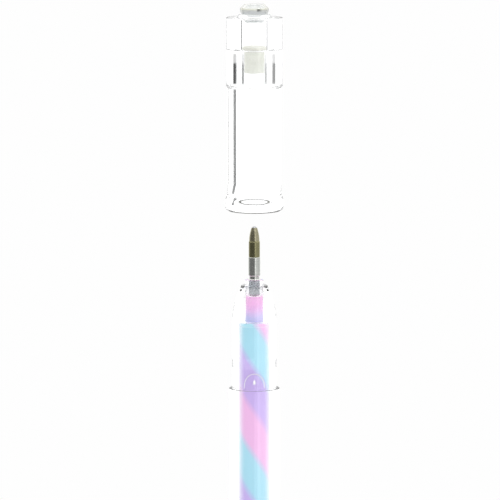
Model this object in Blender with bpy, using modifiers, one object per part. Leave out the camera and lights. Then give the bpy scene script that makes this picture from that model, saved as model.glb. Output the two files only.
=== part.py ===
"""A clear swirl-ink gel pen with its cap lifted off, as separate pieces.

The pen stands upright on its rear plug: +Z runs up the pen to the writing tip, and the origin is the centre of
the rear plug's flat end. The cap floats on the same axis, a few millimetres above the ball. Lengths in the
tables of dimensions are millimetres; MM turns them into metres. Every turned piece is a profile of
(radius, height) points for the Screw modifier.
"""

import math

import bmesh
import bpy

MM = 0.001

# Body of the pen, from the rear end up
BARREL_RADIUS = 4.85
BARREL_BOTTOM = 1.6
CAP_STOP_HEIGHT = 110.0      # the small step that the cap comes down to
NOSE_RADIUS = 4.25           # the barrel ahead of the step
NOSE_START = 122.8           # where the nose begins to taper
NOSE_TOP = 130.0
NOSE_FACE_RADIUS = 2.55
NOSE_BORE = 1.87
BARREL_BORE = 3.5
REAR_BORE = 3.9              # wider mouth at the back that takes the plug
REAR_BORE_TOP = 11.0
SEAT_BORE = 3.12             # snug length that centres the refill's front
SEAT_HEIGHT = 123.05         # ledge inside the nose that the refill stops on
PIP_HEIGHT = 111.55
PIP_RADIUS = 0.35
PIP_PROUD = 0.15

# Rear plug
PLUG_FLANGE = 1.5
PLUG_FLOOR = 2.6
PLUG_TOP = 10.0
PLUG_SPIGOT = 3.84
PLUG_SOCKET = 3.08
VENT_RADIUS = 0.4
VENT_OFFSET = 1.8

# Refill
TUBE_RADIUS = 3.0
TUBE_BORE = 2.6
TUBE_BOTTOM = 3.0
TUBE_TOP = 122.25
NECK_RADIUS = 1.77
NECK_TOP = 131.05
NECK_INK_BORE = 1.35
NECK_INK_TOP = 127.75
STEM_BORE = 1.2              # front bore of the connector, round the metal stem
FLANGE_BOTTOM = 122.3
FLANGE_TOP = 122.9
SPIGOT_RADIUS = 2.55
SPIGOT_BORE = 2.2
SPIGOT_BOTTOM = 120.2

# Writing tip
SLEEVE_RADIUS = 1.17
SLEEVE_TOP = 135.45
SLEEVE_SHOULDER = 131.8
SLEEVE_WAIST = 0.98
SLEEVE_WAIST_BOTTOM = 131.2
SLEEVE_STEM = 1.12
SLEEVE_BOTTOM = 127.9
SLEEVE_BORE = 0.78
SLEEVE_CHANNEL = 0.45
SLEEVE_CHANNEL_TOP = 132.2
GROOVE_DEPTH = 0.07
GROOVE_PITCH = 0.36
GROOVE_COUNT = 3
POINT_RADIUS = 1.08
POINT_BOTTOM = 135.5
POINT_SHOULDER = 138.5
POINT_CONE_RADIUS = 0.97
POINT_STEM = 0.7
POINT_STEM_BOTTOM = 132.5
POINT_RIM_TOP = 141.12
POINT_RIM_RADIUS = 0.57
POINT_CHANNEL = 0.3
BALL_RADIUS = 0.5
BALL_TOP = 141.4
BALL_CLEARANCE = 0.035

# Ink: three bands that twist round one another, and the grease that follows them
INK_RADIUS = 2.45
INK_TOP = 120.05
INK_BOTTOM = 30.0
INK_PITCH = 25.8             # height of one full left-handed turn
INK_GAP = 0.06
INK_LAYERS = 60
INK_ARC_POINTS = 6
INK_PHASE = math.radians(-169)
FOLLOWER_RADIUS = 2.5
FOLLOWER_BOTTOM = 24.8
FOLLOWER_TOP = 29.8

# Cap, by heights above its own mouth
CAP_MOUTH = 144.6
CAP_RADIUS = 5.2
CAP_HEAD_RADIUS = 5.4
CAP_HEAD_BOTTOM = 23.9
CAP_HEAD_TOP = 37.1
CAP_BEAD_RADIUS = 5.72
CAP_BEAD_HEIGHT = 1.3
CAP_LIP_RADIUS = 4.95
CAP_BORE = 4.36
CAP_MOUTH_BORE = 4.55        # the bore tapers from here to its full depth
CAP_TAPER_DEPTH = 5.0
CAP_HEAD_BORE = 3.5
CAP_CEILING = 31.0
BOSS_RADIUS = 2.8            # inner tube that holds the seal and guides the tip
BOSS_BORE = 2.0
BOSS_BOTTOM = 23.5
CORE_BORE = 2.42             # hollow above the seal, closed by the crown
SHOULDER_TOP = 37.75
SHOULDER_RADIUS = 2.9
SHOULDER_FOOT = 3.6

# Cap seal and crown, by heights above the cap's mouth
SEAL_RADIUS = 1.94
SEAL_FLANGE = 2.34
SEAL_BOTTOM = 26.5
SEAL_TOP = 31.6
SEAL_CUP = 1.36
SEAL_CUP_TOP = 31.0
CROWN_SIDES = 12
CROWN_STEM = 2.34
CROWN_STEM_TIP = 1.75
CROWN_STEM_BOTTOM = 36.2
CROWN_NECK_TOP = 37.85
CROWN_NECK_RADIUS = 2.6
CROWN_GIRDLE_RADIUS = 2.76
CROWN_GIRDLE_BOTTOM = 38.5
CROWN_GIRDLE_TOP = 38.85
CROWN_TABLE_RADIUS = 1.95
CROWN_TOP = 39.75

# Corner rounds, edge breaks and the gap left between pieces that don't move on one another
EDGE_BREAK = 0.1
FIT_GAP = 0.05
STEP_ROUND = 0.25
FLANGE_ROUND = 0.25
HEAD_ROUND = 0.35
BEAD_ROUND = 0.75
BOSS_ROUND = 0.3
SEAT_LENGTH = 7.0
SEAT_FUNNEL = 2.0            # where the full bore narrows to the seat

WIDE_STEPS = 32              # facets round the large clear pieces
FINE_STEPS = 20              # facets round the small ones
MERGE_DISTANCE = 1e-6
SHARP_ANGLE = math.radians(32)

CLEAR = ((0.95, 0.97, 0.98, 1.0), 0.04, 0.0)
MILKY = ((0.88, 0.89, 0.88, 1.0), 0.35, 0.0)
ELASTOMER = ((0.83, 0.83, 0.76, 1.0), 0.55, 0.0)
BRASS = ((0.72, 0.60, 0.32, 1.0), 0.25, 1.0)
NICKEL = ((0.62, 0.64, 0.63, 1.0), 0.28, 1.0)
CARBIDE = ((0.55, 0.55, 0.56, 1.0), 0.15, 1.0)
INK_BLUE = ((0.45, 0.72, 0.88, 1.0), 0.35, 0.0)
INK_PURPLE = ((0.57, 0.46, 0.84, 1.0), 0.35, 0.0)
INK_PINK = ((0.86, 0.50, 0.75, 1.0), 0.35, 0.0)
INK_MIXED = ((0.70, 0.55, 0.82, 1.0), 0.35, 0.0)
GREASE = ((0.86, 0.84, 0.70, 1.0), 0.30, 0.0)


def clear_scene():
    for item in list(bpy.data.objects):
        bpy.data.objects.remove(item, do_unlink=True)


def new_collection(name):
    collection = bpy.data.collections.new(name)
    bpy.context.scene.collection.children.link(collection)
    return collection


def material(name, finish):
    colour, roughness, metallic = finish
    made = bpy.data.materials.new(name)
    made.use_nodes = True
    made.diffuse_color = colour
    shader = made.node_tree.nodes["Principled BSDF"]
    shader.inputs["Base Color"].default_value = colour
    shader.inputs["Roughness"].default_value = roughness
    shader.inputs["Metallic"].default_value = metallic
    return made


def arc(centre_radius, centre_height, radius, start_deg, end_deg, points=5):
    """Points of a round corner; 0 degrees faces outwards and 90 degrees faces up."""
    angles = [math.radians(start_deg + (end_deg - start_deg) * i / (points - 1)) for i in range(points)]
    return [(centre_radius + radius * math.cos(a), centre_height + radius * math.sin(a)) for a in angles]


def lifted(profile, height):
    return [(radius, z + height) for radius, z in profile]


def finish_object(collection, name, mesh, finish):
    """Give a mesh its smooth shading, its material and an object in the parts collection."""
    mesh.name = name
    mesh.shade_smooth()
    mesh.set_sharp_from_angle(angle=SHARP_ANGLE)
    mesh.materials.clear()
    mesh.materials.append(material(name, finish))
    made = bpy.data.objects.new(name, mesh)
    collection.objects.link(made)
    return made


def screw_mesh(profile, closed, steps):
    """Turn a profile (mm) round Z. A closed profile is a ring; an open one starts and ends on the axis."""
    mesh = bpy.data.meshes.new("profile")
    corners = [(radius * MM, 0.0, height * MM) for radius, height in profile]
    edges = [(i, i + 1) for i in range(len(corners) - 1)]
    if closed:
        edges.append((len(corners) - 1, 0))
    mesh.from_pydata(corners, edges, [])
    lathe = bpy.data.objects.new("profile", mesh)
    bpy.context.scene.collection.objects.link(lathe)
    screw = lathe.modifiers.new("turn", "SCREW")
    screw.axis = "Z"
    screw.angle = 2 * math.pi
    screw.steps = steps
    screw.render_steps = steps
    screw.use_merge_vertices = True
    screw.merge_threshold = MERGE_DISTANCE
    bpy.context.view_layer.update()
    turned = bpy.data.meshes.new_from_object(lathe.evaluated_get(bpy.context.evaluated_depsgraph_get()))
    bpy.data.objects.remove(lathe, do_unlink=True)
    return turned


def turned(collection, name, profile, finish, closed=True, steps=WIDE_STEPS):
    return finish_object(collection, name, screw_mesh(profile, closed, steps), finish)


def nose_profile(points=9):
    """The nose's outside, from its flat face down to full width, as a parabola."""
    profile = []
    shoulder = NOSE_TOP - EDGE_BREAK
    for i in range(points):
        share = i / (points - 1)
        radius = NOSE_FACE_RADIUS + (NOSE_RADIUS - NOSE_FACE_RADIUS) * (1 - (1 - share) ** 2)
        profile.append((radius, shoulder - (shoulder - NOSE_START) * share))
    return profile


def make_barrel(parts, cutters):
    outside = [(NOSE_FACE_RADIUS - 0.12, NOSE_TOP)] + nose_profile()
    outside += [(NOSE_RADIUS, CAP_STOP_HEIGHT + EDGE_BREAK), (NOSE_RADIUS + EDGE_BREAK, CAP_STOP_HEIGHT)]
    outside += arc(BARREL_RADIUS - STEP_ROUND, CAP_STOP_HEIGHT - STEP_ROUND, STEP_ROUND, 90, 0, 4)
    outside += [(BARREL_RADIUS, BARREL_BOTTOM + 0.15), (BARREL_RADIUS - 0.15, BARREL_BOTTOM)]
    inside = [(REAR_BORE + EDGE_BREAK, BARREL_BOTTOM), (REAR_BORE, BARREL_BOTTOM + EDGE_BREAK)]
    inside += [(REAR_BORE, REAR_BORE_TOP)]
    inside += [(BARREL_BORE, REAR_BORE_TOP + 0.4), (BARREL_BORE, SEAT_HEIGHT - SEAT_LENGTH - SEAT_FUNNEL)]
    inside += [(SEAT_BORE, SEAT_HEIGHT - SEAT_LENGTH), (SEAT_BORE, SEAT_HEIGHT)]
    inside += [(NOSE_BORE, SEAT_HEIGHT + FIT_GAP), (NOSE_BORE, NOSE_TOP)]
    barrel = turned(parts, "barrel", outside + inside, CLEAR)

    bpy.ops.mesh.primitive_uv_sphere_add(
        segments=12, ring_count=8, radius=PIP_RADIUS * MM,
        location=(0.0, -(NOSE_RADIUS + PIP_PROUD - PIP_RADIUS) * MM, PIP_HEIGHT * MM),
    )
    pip = bpy.context.object
    pip.name = "pip_cutter"
    move_to_cutters(pip, cutters)
    join = barrel.modifiers.new("cap_snap_pip", "BOOLEAN")
    join.operation = "UNION"
    join.solver = "EXACT"
    join.object = pip
    return barrel


def move_to_cutters(cutter, cutters):
    for owner in list(cutter.users_collection):
        owner.objects.unlink(cutter)
    cutters.objects.link(cutter)
    cutter.hide_render = True
    cutter.display_type = "WIRE"


def make_rear_plug(parts, cutters):
    profile = [(0.0, PLUG_FLOOR), (PLUG_SOCKET - 0.2, PLUG_FLOOR), (PLUG_SOCKET, PLUG_FLOOR + 0.2)]
    profile += [(PLUG_SOCKET, PLUG_TOP - 0.3), (PLUG_SOCKET + 0.2, PLUG_TOP)]
    profile += [(PLUG_SPIGOT - 0.3, PLUG_TOP), (PLUG_SPIGOT, PLUG_TOP - 0.4), (PLUG_SPIGOT, PLUG_FLANGE)]
    profile += arc(BARREL_RADIUS - 0.15, PLUG_FLANGE - 0.15, 0.15, 90, 0, 3)
    profile += arc(BARREL_RADIUS - 0.2, 0.2, 0.2, 0, -90, 4)
    profile += [(0.0, 0.0)]
    plug = turned(parts, "rear_plug", profile, MILKY, closed=False)
    bpy.ops.mesh.primitive_cylinder_add(
        vertices=12, radius=VENT_RADIUS * MM, depth=2 * PLUG_FLOOR * MM,
        location=(VENT_OFFSET * MM, 0.0, PLUG_FLOOR * MM / 2),
    )
    drill = bpy.context.object
    drill.name = "vent_cutter"
    move_to_cutters(drill, cutters)
    vent = plug.modifiers.new("vent_hole", "BOOLEAN")
    vent.operation = "DIFFERENCE"
    vent.solver = "EXACT"
    vent.object = drill
    return plug


def make_refill(parts):
    turned(parts, "refill_tube", [
        (TUBE_RADIUS - EDGE_BREAK, TUBE_TOP), (TUBE_RADIUS, TUBE_TOP - EDGE_BREAK), (TUBE_RADIUS, TUBE_BOTTOM),
        (TUBE_BORE, TUBE_BOTTOM), (TUBE_BORE, TUBE_TOP),
    ], CLEAR)
    profile = [(NECK_RADIUS - 0.12, NECK_TOP), (NECK_RADIUS, NECK_TOP - 0.12), (NECK_RADIUS, FLANGE_TOP + 0.15)]
    profile += [(NECK_RADIUS + 0.15, FLANGE_TOP)]
    profile += arc(TUBE_RADIUS - FLANGE_ROUND, FLANGE_TOP - FLANGE_ROUND, FLANGE_ROUND, 90, 0, 3)
    profile += [(TUBE_RADIUS, FLANGE_BOTTOM), (SPIGOT_RADIUS, FLANGE_BOTTOM), (SPIGOT_RADIUS, SPIGOT_BOTTOM + 0.2)]
    profile += [(SPIGOT_RADIUS - 0.15, SPIGOT_BOTTOM), (SPIGOT_BORE, SPIGOT_BOTTOM), (SPIGOT_BORE, FLANGE_BOTTOM)]
    profile += [(NECK_INK_BORE, FLANGE_BOTTOM + 0.4), (NECK_INK_BORE, NECK_INK_TOP)]
    profile += [(STEM_BORE, NECK_INK_TOP + 0.1), (STEM_BORE, NECK_TOP)]
    turned(parts, "refill_connector", profile, CLEAR, steps=FINE_STEPS)


def make_tip(parts):
    stem_top = SLEEVE_WAIST_BOTTOM - EDGE_BREAK
    grooves = []
    for i in range(GROOVE_COUNT):
        height = stem_top - GROOVE_PITCH * (i + 0.6)
        grooves += [(SLEEVE_STEM, height + 0.1), (SLEEVE_STEM - GROOVE_DEPTH, height),
                    (SLEEVE_STEM - GROOVE_DEPTH, height - 0.05), (SLEEVE_STEM, height - 0.15)]
    profile = [(SLEEVE_RADIUS - EDGE_BREAK, SLEEVE_TOP), (SLEEVE_RADIUS, SLEEVE_TOP - EDGE_BREAK)]
    profile += [(SLEEVE_RADIUS, SLEEVE_SHOULDER + 0.15), (SLEEVE_WAIST, SLEEVE_SHOULDER - 0.05)]
    profile += [(SLEEVE_WAIST, SLEEVE_WAIST_BOTTOM), (SLEEVE_STEM, stem_top)] + grooves
    profile += [(SLEEVE_STEM, SLEEVE_BOTTOM + 0.15), (SLEEVE_STEM - 0.15, SLEEVE_BOTTOM)]
    profile += [(SLEEVE_CHANNEL, SLEEVE_BOTTOM), (SLEEVE_CHANNEL, SLEEVE_CHANNEL_TOP)]
    profile += [(SLEEVE_BORE, SLEEVE_CHANNEL_TOP + EDGE_BREAK), (SLEEVE_BORE, SLEEVE_TOP)]
    turned(parts, "tip_sleeve", profile, NICKEL, steps=FINE_STEPS)

    ball_centre = BALL_TOP - BALL_RADIUS
    socket = BALL_RADIUS + BALL_CLEARANCE
    cone = []
    for i in range(6):
        share = i / 5
        radius = POINT_RIM_RADIUS + (POINT_CONE_RADIUS - POINT_RIM_RADIUS) * (1 - (1 - share) ** 1.6)
        cone.append((radius, POINT_RIM_TOP - 0.08 - (POINT_RIM_TOP - 0.08 - POINT_SHOULDER) * share))
    lip_angle = math.degrees(math.asin((POINT_RIM_TOP - ball_centre) / socket))
    channel_angle = -math.degrees(math.acos(POINT_CHANNEL / socket))
    profile = [(POINT_RIM_RADIUS - 0.04, POINT_RIM_TOP)] + cone
    profile += [(POINT_RADIUS, POINT_SHOULDER - EDGE_BREAK), (POINT_RADIUS, POINT_BOTTOM), (POINT_STEM, POINT_BOTTOM)]
    profile += [(POINT_STEM, POINT_STEM_BOTTOM), (POINT_CHANNEL, POINT_STEM_BOTTOM)]
    profile += arc(0.0, ball_centre, socket, channel_angle, lip_angle, 6)
    turned(parts, "tip_point", profile, BRASS, steps=FINE_STEPS)

    bpy.ops.mesh.primitive_uv_sphere_add(segments=16, ring_count=10, radius=BALL_RADIUS * MM)
    primitive = bpy.context.object
    sphere = primitive.data.copy()
    bpy.data.objects.remove(primitive, do_unlink=True)
    ball = finish_object(parts, "tip_ball", sphere, CARBIDE)
    ball.location = (0.0, 0.0, ball_centre * MM)


def ink_strand_mesh(start_angle):
    """One third of the ink column, twisted left-handed, as a loft of a sector turned layer by layer."""
    spread = 2 * math.pi / 3
    edge = math.asin(INK_GAP / INK_RADIUS)
    outline = [(INK_GAP * 2 * math.cos(spread / 2), INK_GAP * 2 * math.sin(spread / 2))]
    for i in range(INK_ARC_POINTS):
        angle = edge + (spread - 2 * edge) * i / (INK_ARC_POINTS - 1)
        outline.append((INK_RADIUS * math.cos(angle), INK_RADIUS * math.sin(angle)))
    shape = bmesh.new()
    layers = []
    for layer in range(INK_LAYERS + 1):
        height = INK_BOTTOM + (INK_TOP - INK_BOTTOM) * layer / INK_LAYERS
        turn = start_angle - 2 * math.pi * (height - INK_TOP) / INK_PITCH
        layers.append([
            shape.verts.new((
                (x * math.cos(turn) - y * math.sin(turn)) * MM,
                (x * math.sin(turn) + y * math.cos(turn)) * MM,
                height * MM,
            ))
            for x, y in outline
        ])
    for lower, upper in zip(layers, layers[1:]):
        for i in range(len(outline) - 1):
            shape.faces.new((lower[i], lower[i + 1], upper[i + 1]))
            shape.faces.new((lower[i], upper[i + 1], upper[i]))
        # The last wall is split like the first wall of the next band, so that the two stay parallel.
        shape.faces.new((lower[-1], lower[0], upper[-1]))
        shape.faces.new((lower[0], upper[0], upper[-1]))
    shape.faces.new(list(reversed(layers[0])))
    shape.faces.new(layers[-1])
    mesh = bpy.data.meshes.new("ink_strand")
    shape.to_mesh(mesh)
    shape.free()
    return mesh


def make_ink(parts):
    for turn, (name, finish) in enumerate([
        ("ink_blue", INK_BLUE), ("ink_purple", INK_PURPLE), ("ink_pink", INK_PINK),
    ]):
        finish_object(parts, name, ink_strand_mesh(INK_PHASE - turn * 2 * math.pi / 3), finish)
    neck = NECK_INK_BORE - FIT_GAP
    foot = SPIGOT_BORE - FIT_GAP
    turned(parts, "ink_feed", [
        (0.0, NECK_INK_TOP - FIT_GAP), (neck, NECK_INK_TOP - FIT_GAP), (neck, FLANGE_BOTTOM + 0.33),
        (foot, FLANGE_BOTTOM - 0.07), (foot, SPIGOT_BOTTOM + FIT_GAP), (0.0, SPIGOT_BOTTOM + FIT_GAP),
    ], INK_MIXED, closed=False, steps=FINE_STEPS)
    follower = FOLLOWER_RADIUS
    turned(parts, "ink_follower", [
        (0.0, FOLLOWER_TOP), (follower, FOLLOWER_TOP), (follower, FOLLOWER_BOTTOM + 0.3),
        (follower - 0.4, FOLLOWER_BOTTOM), (0.0, FOLLOWER_BOTTOM + 0.5),
    ], GREASE, closed=False, steps=FINE_STEPS)


def make_cap(parts):
    outside = [(CORE_BORE + FIT_GAP, SHOULDER_TOP), (SHOULDER_RADIUS, SHOULDER_TOP)]
    outside += [(SHOULDER_FOOT, CAP_HEAD_TOP + 0.08)]
    outside += arc(CAP_HEAD_RADIUS - HEAD_ROUND, CAP_HEAD_TOP - HEAD_ROUND, HEAD_ROUND, 90, 0, 5)
    outside += [(CAP_HEAD_RADIUS, CAP_HEAD_BOTTOM + EDGE_BREAK), (CAP_RADIUS, CAP_HEAD_BOTTOM - EDGE_BREAK)]
    outside += [(CAP_RADIUS, CAP_BEAD_HEIGHT + 1.5), (CAP_RADIUS + 0.12, CAP_BEAD_HEIGHT + 0.95)]
    outside += arc(CAP_BEAD_RADIUS - BEAD_ROUND, CAP_BEAD_HEIGHT - EDGE_BREAK, BEAD_ROUND, 35, -60, 6)
    outside += [(CAP_LIP_RADIUS, 0.0)]
    inside = [(CAP_MOUTH_BORE + 0.15, 0.0), (CAP_MOUTH_BORE, 0.15), (CAP_BORE, CAP_TAPER_DEPTH)]
    inside += [(CAP_BORE, CAP_HEAD_BOTTOM - 1.0)]
    inside += [(CAP_HEAD_BORE, CAP_HEAD_BOTTOM - EDGE_BREAK), (CAP_HEAD_BORE, CAP_CEILING - 0.2)]
    inside += [(CAP_HEAD_BORE - 0.2, CAP_CEILING), (BOSS_RADIUS, CAP_CEILING), (BOSS_RADIUS, BOSS_BOTTOM + 0.4)]
    inside += arc(BOSS_RADIUS - BOSS_ROUND, BOSS_BOTTOM + BOSS_ROUND, BOSS_ROUND, 0, -90, 4)
    inside += [(BOSS_BORE + 0.25, BOSS_BOTTOM), (BOSS_BORE, BOSS_BOTTOM + 2 * BOSS_ROUND), (BOSS_BORE, CAP_CEILING)]
    inside += [(CORE_BORE, CAP_CEILING + 0.02), (CORE_BORE, SHOULDER_TOP - 0.05)]
    turned(parts, "cap_shell", lifted(outside + inside, CAP_MOUTH), CLEAR)

    seal = [(0.0, SEAL_TOP), (SEAL_FLANGE - EDGE_BREAK, SEAL_TOP), (SEAL_FLANGE, SEAL_TOP - EDGE_BREAK)]
    seal += [(SEAL_FLANGE, CAP_CEILING + 0.08), (SEAL_RADIUS, CAP_CEILING + 0.06), (SEAL_RADIUS, SEAL_BOTTOM + 0.3)]
    seal += [(SEAL_RADIUS - 0.25, SEAL_BOTTOM), (SEAL_CUP + EDGE_BREAK, SEAL_BOTTOM), (SEAL_CUP, SEAL_BOTTOM + 0.2)]
    seal += [(SEAL_CUP, SEAL_CUP_TOP - 0.4), (SEAL_CUP - 0.4, SEAL_CUP_TOP), (0.0, SEAL_CUP_TOP)]
    turned(parts, "cap_seal", lifted(seal, CAP_MOUTH), ELASTOMER, closed=False, steps=FINE_STEPS)

    crown = [(0.0, CROWN_TOP), (CROWN_TABLE_RADIUS, CROWN_TOP - EDGE_BREAK), (CROWN_GIRDLE_RADIUS, CROWN_GIRDLE_TOP)]
    crown += [(CROWN_GIRDLE_RADIUS, CROWN_GIRDLE_BOTTOM), (CROWN_NECK_RADIUS, CROWN_NECK_TOP)]
    crown += [(CROWN_STEM, CROWN_NECK_TOP), (CROWN_STEM, CROWN_STEM_BOTTOM + 0.9)]
    crown += [(CROWN_STEM_TIP, CROWN_STEM_BOTTOM), (0.0, CROWN_STEM_BOTTOM)]
    turned(parts, "cap_crown", lifted(crown, CAP_MOUTH), CLEAR, closed=False, steps=CROWN_SIDES)


def main():
    clear_scene()
    parts = new_collection("gel_pen")
    cutters = new_collection("cutters")
    make_barrel(parts, cutters)
    make_rear_plug(parts, cutters)
    make_refill(parts)
    make_tip(parts)
    make_ink(parts)
    make_cap(parts)


main()
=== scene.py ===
import math

import bmesh
import bpy
from mathutils import Matrix, Vector


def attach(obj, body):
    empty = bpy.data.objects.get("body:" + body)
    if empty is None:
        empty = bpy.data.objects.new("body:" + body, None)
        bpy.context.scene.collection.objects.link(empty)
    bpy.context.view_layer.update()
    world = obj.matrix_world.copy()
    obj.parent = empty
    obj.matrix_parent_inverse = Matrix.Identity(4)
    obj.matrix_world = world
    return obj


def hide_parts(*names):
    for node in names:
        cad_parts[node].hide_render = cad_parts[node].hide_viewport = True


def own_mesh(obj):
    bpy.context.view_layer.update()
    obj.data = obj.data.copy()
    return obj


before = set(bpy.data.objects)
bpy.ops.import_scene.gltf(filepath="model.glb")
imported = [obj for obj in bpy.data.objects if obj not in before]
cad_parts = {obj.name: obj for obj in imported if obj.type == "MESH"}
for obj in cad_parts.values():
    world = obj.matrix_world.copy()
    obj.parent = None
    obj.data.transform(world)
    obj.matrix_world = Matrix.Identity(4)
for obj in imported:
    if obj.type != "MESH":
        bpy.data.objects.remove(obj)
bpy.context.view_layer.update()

MM = 0.001

# Heights and radii of the pen, in millimetres from the rear plug's flat end
BARREL_RADIUS = 4.85
BARREL_BOTTOM = 1.6
CAP_STOP_HEIGHT = 110.0
NOSE_RADIUS = 4.25
NOSE_START = 122.8
NOSE_TOP = 130.0
NOSE_FACE_RADIUS = 2.55
NOSE_BORE = 1.87
BARREL_BORE = 3.5
REAR_BORE = 3.9
REAR_BORE_TOP = 11.0
SEAT_BORE = 3.12
SEAT_HEIGHT = 123.05
SEAT_LENGTH = 7.0
SEAT_FUNNEL = 2.0
PIP_HEIGHT = 111.55
PIP_RADIUS = 0.35
PIP_PROUD = 0.15
PIP_LENGTH = 1.0

PLUG_FLANGE = 1.5
PLUG_FLOOR = 2.6
PLUG_TOP = 10.0
PLUG_SPIGOT = 3.84
PLUG_SOCKET = 3.08
VENT_RADIUS = 0.4
VENT_OFFSET = 1.8

TUBE_RADIUS = 3.0
TUBE_BORE = 2.6
TUBE_BOTTOM = 3.0
TUBE_TOP = 122.25
NECK_RADIUS = 1.77
NECK_TOP = 131.05
NECK_INK_BORE = 1.35
NECK_INK_TOP = 127.75
STEM_BORE = 1.2
FLANGE_BOTTOM = 122.3
FLANGE_TOP = 122.9
SPIGOT_RADIUS = 2.55
SPIGOT_BORE = 2.2
SPIGOT_BOTTOM = 120.2

SLEEVE_RADIUS = 1.17
SLEEVE_TOP = 135.45
SLEEVE_SHOULDER = 131.8
SLEEVE_WAIST = 0.98
SLEEVE_WAIST_BOTTOM = 131.2
SLEEVE_STEM = 1.12
SLEEVE_BOTTOM = 127.9
SLEEVE_BORE = 0.78
SLEEVE_CHANNEL = 0.45
SLEEVE_CHANNEL_TOP = 132.2
GROOVE_DEPTH = 0.07
GROOVE_PITCH = 0.36
GROOVE_COUNT = 3
POINT_RADIUS = 1.08
POINT_BOTTOM = 135.5
POINT_SHOULDER = 138.5
POINT_CONE_RADIUS = 1.0
CONE_FULLNESS = 2.1
POINT_STEM = 0.7
POINT_STEM_BOTTOM = 132.5
POINT_RIM_TOP = 141.12
POINT_RIM_RADIUS = 0.57
POINT_CHANNEL = 0.3
BALL_RADIUS = 0.5
BALL_TOP = 141.4
BALL_CLEARANCE = 0.035

INK_TOP = 120.05
INK_BOTTOM = 30.0
INK_PITCH = 25.8
INK_PHASE = math.radians(-169)
INK_BRIM = 122.75             # where the bands end, round the foot of the neck
INK_WETTING = 0.02            # how far the ink is drawn into the clear wall, so no air shows between them
BAND_LAYERS = 240
BAND_ARC_POINTS = 24
FOLLOWER_RADIUS = 2.5
FOLLOWER_BOTTOM = 24.8
FOLLOWER_TOP = 29.8

# Heights in the cap, from its own mouth
CAP_MOUTH = 144.6
CAP_RADIUS = 5.2
CAP_HEAD_RADIUS = 5.4
CAP_HEAD_BOTTOM = 23.9
CAP_HEAD_TOP = 37.1
CAP_BEAD_RADIUS = 5.72
CAP_BEAD_HEIGHT = 1.3
CAP_FLARE_RISE = 2.2
CAP_LIP_RADIUS = 4.95
CAP_LIP_BORE = 4.8
CAP_FLARE_BORE = 4.75
CAP_BORE = 4.36
CAP_TAPER_DEPTH = 5.0
RIM_WIRE = 0.1                # the fine dark ring of painted shade round the cap's mouth
CAP_HEAD_BORE = 3.5
CAP_CEILING = 31.0
BOSS_RADIUS = 2.8
BOSS_BORE = 2.0
BOSS_BOTTOM = 23.5
CORE_BORE = 2.42
SHOULDER_TOP = 37.75
SHOULDER_RADIUS = 2.9
SHOULDER_FOOT = 3.6

SEAL_RADIUS = 1.94
SEAL_FLANGE = 2.34
SEAL_BOTTOM = 26.5
SEAL_TOP = 31.6
SEAL_CUP = 1.36
SEAL_CUP_TOP = 31.0
CROWN_SIDES = 12
CROWN_STEM = 2.34
CROWN_STEM_TIP = 1.75
CROWN_STEM_BOTTOM = 36.2
CROWN_NECK_TOP = 37.85
CROWN_NECK_RADIUS = 2.6
CROWN_GIRDLE_RADIUS = 2.76
CROWN_GIRDLE_BOTTOM = 38.5
CROWN_GIRDLE_TOP = 38.85
CROWN_TABLE_RADIUS = 1.95
CROWN_TOP = 39.75

ROUND_STEPS = 144             # sides of the large turned pieces
SMALL_STEPS = 96              # and of the small ones
CORNER_POINTS = 5             # points round one eased corner of a profile
NOSE_POINTS = 25              # points down the nose's curve
SHARP_ANGLE = math.radians(35)
WALL_GUARD = 0.05             # keeps the shading of a rounded edge off the wall beside it
SKIN = 0.01                   # keeps the widest turned shape inside the pen's real width


# ---------------------------------------------------------------- turned shapes

def eased(corners, closed=True):
    """Round the corners (radius, height, rounding) of a profile, and guard each straight run with a point."""
    profile = []
    count = len(corners)
    for i, corner in enumerate(corners):
        here, rounding = Vector(corner[:2]), (corner[2] if len(corner) > 2 else 0.0)
        end = not closed and i in (0, count - 1)
        if end or rounding <= 0.0:
            profile.append(here)
            continue
        back = Vector(corners[i - 1][:2]) - here
        ahead = Vector(corners[(i + 1) % count][:2]) - here
        room = 0.48 * min(back.length, ahead.length)
        back_room, ahead_room = 0.5 * back.length, 0.5 * ahead.length
        back.normalize()
        ahead.normalize()
        half = back.angle(ahead) / 2
        reach = min(rounding / math.tan(half), room)
        radius = reach * math.tan(half)
        centre = here + (back + ahead).normalized() * (radius / math.sin(half))
        start, stop = here + back * reach - centre, here + ahead * reach - centre
        turn = start.angle_signed(stop)
        if reach + WALL_GUARD < back_room:
            profile.append(here + back * (reach + WALL_GUARD))
        for step in range(CORNER_POINTS):
            angle = -turn * step / (CORNER_POINTS - 1)
            profile.append(centre + Vector((
                start.x * math.cos(angle) - start.y * math.sin(angle),
                start.x * math.sin(angle) + start.y * math.cos(angle),
            )))
        if reach + WALL_GUARD < ahead_room:
            profile.append(here + ahead * (reach + WALL_GUARD))
    return [(point.x, point.y) for point in profile]


def lifted(corners, height):
    return [(corner[0], corner[1] + height, *corner[2:]) for corner in corners]


def even_angles(count):
    return [2 * math.pi * i / count for i in range(count)]


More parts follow.
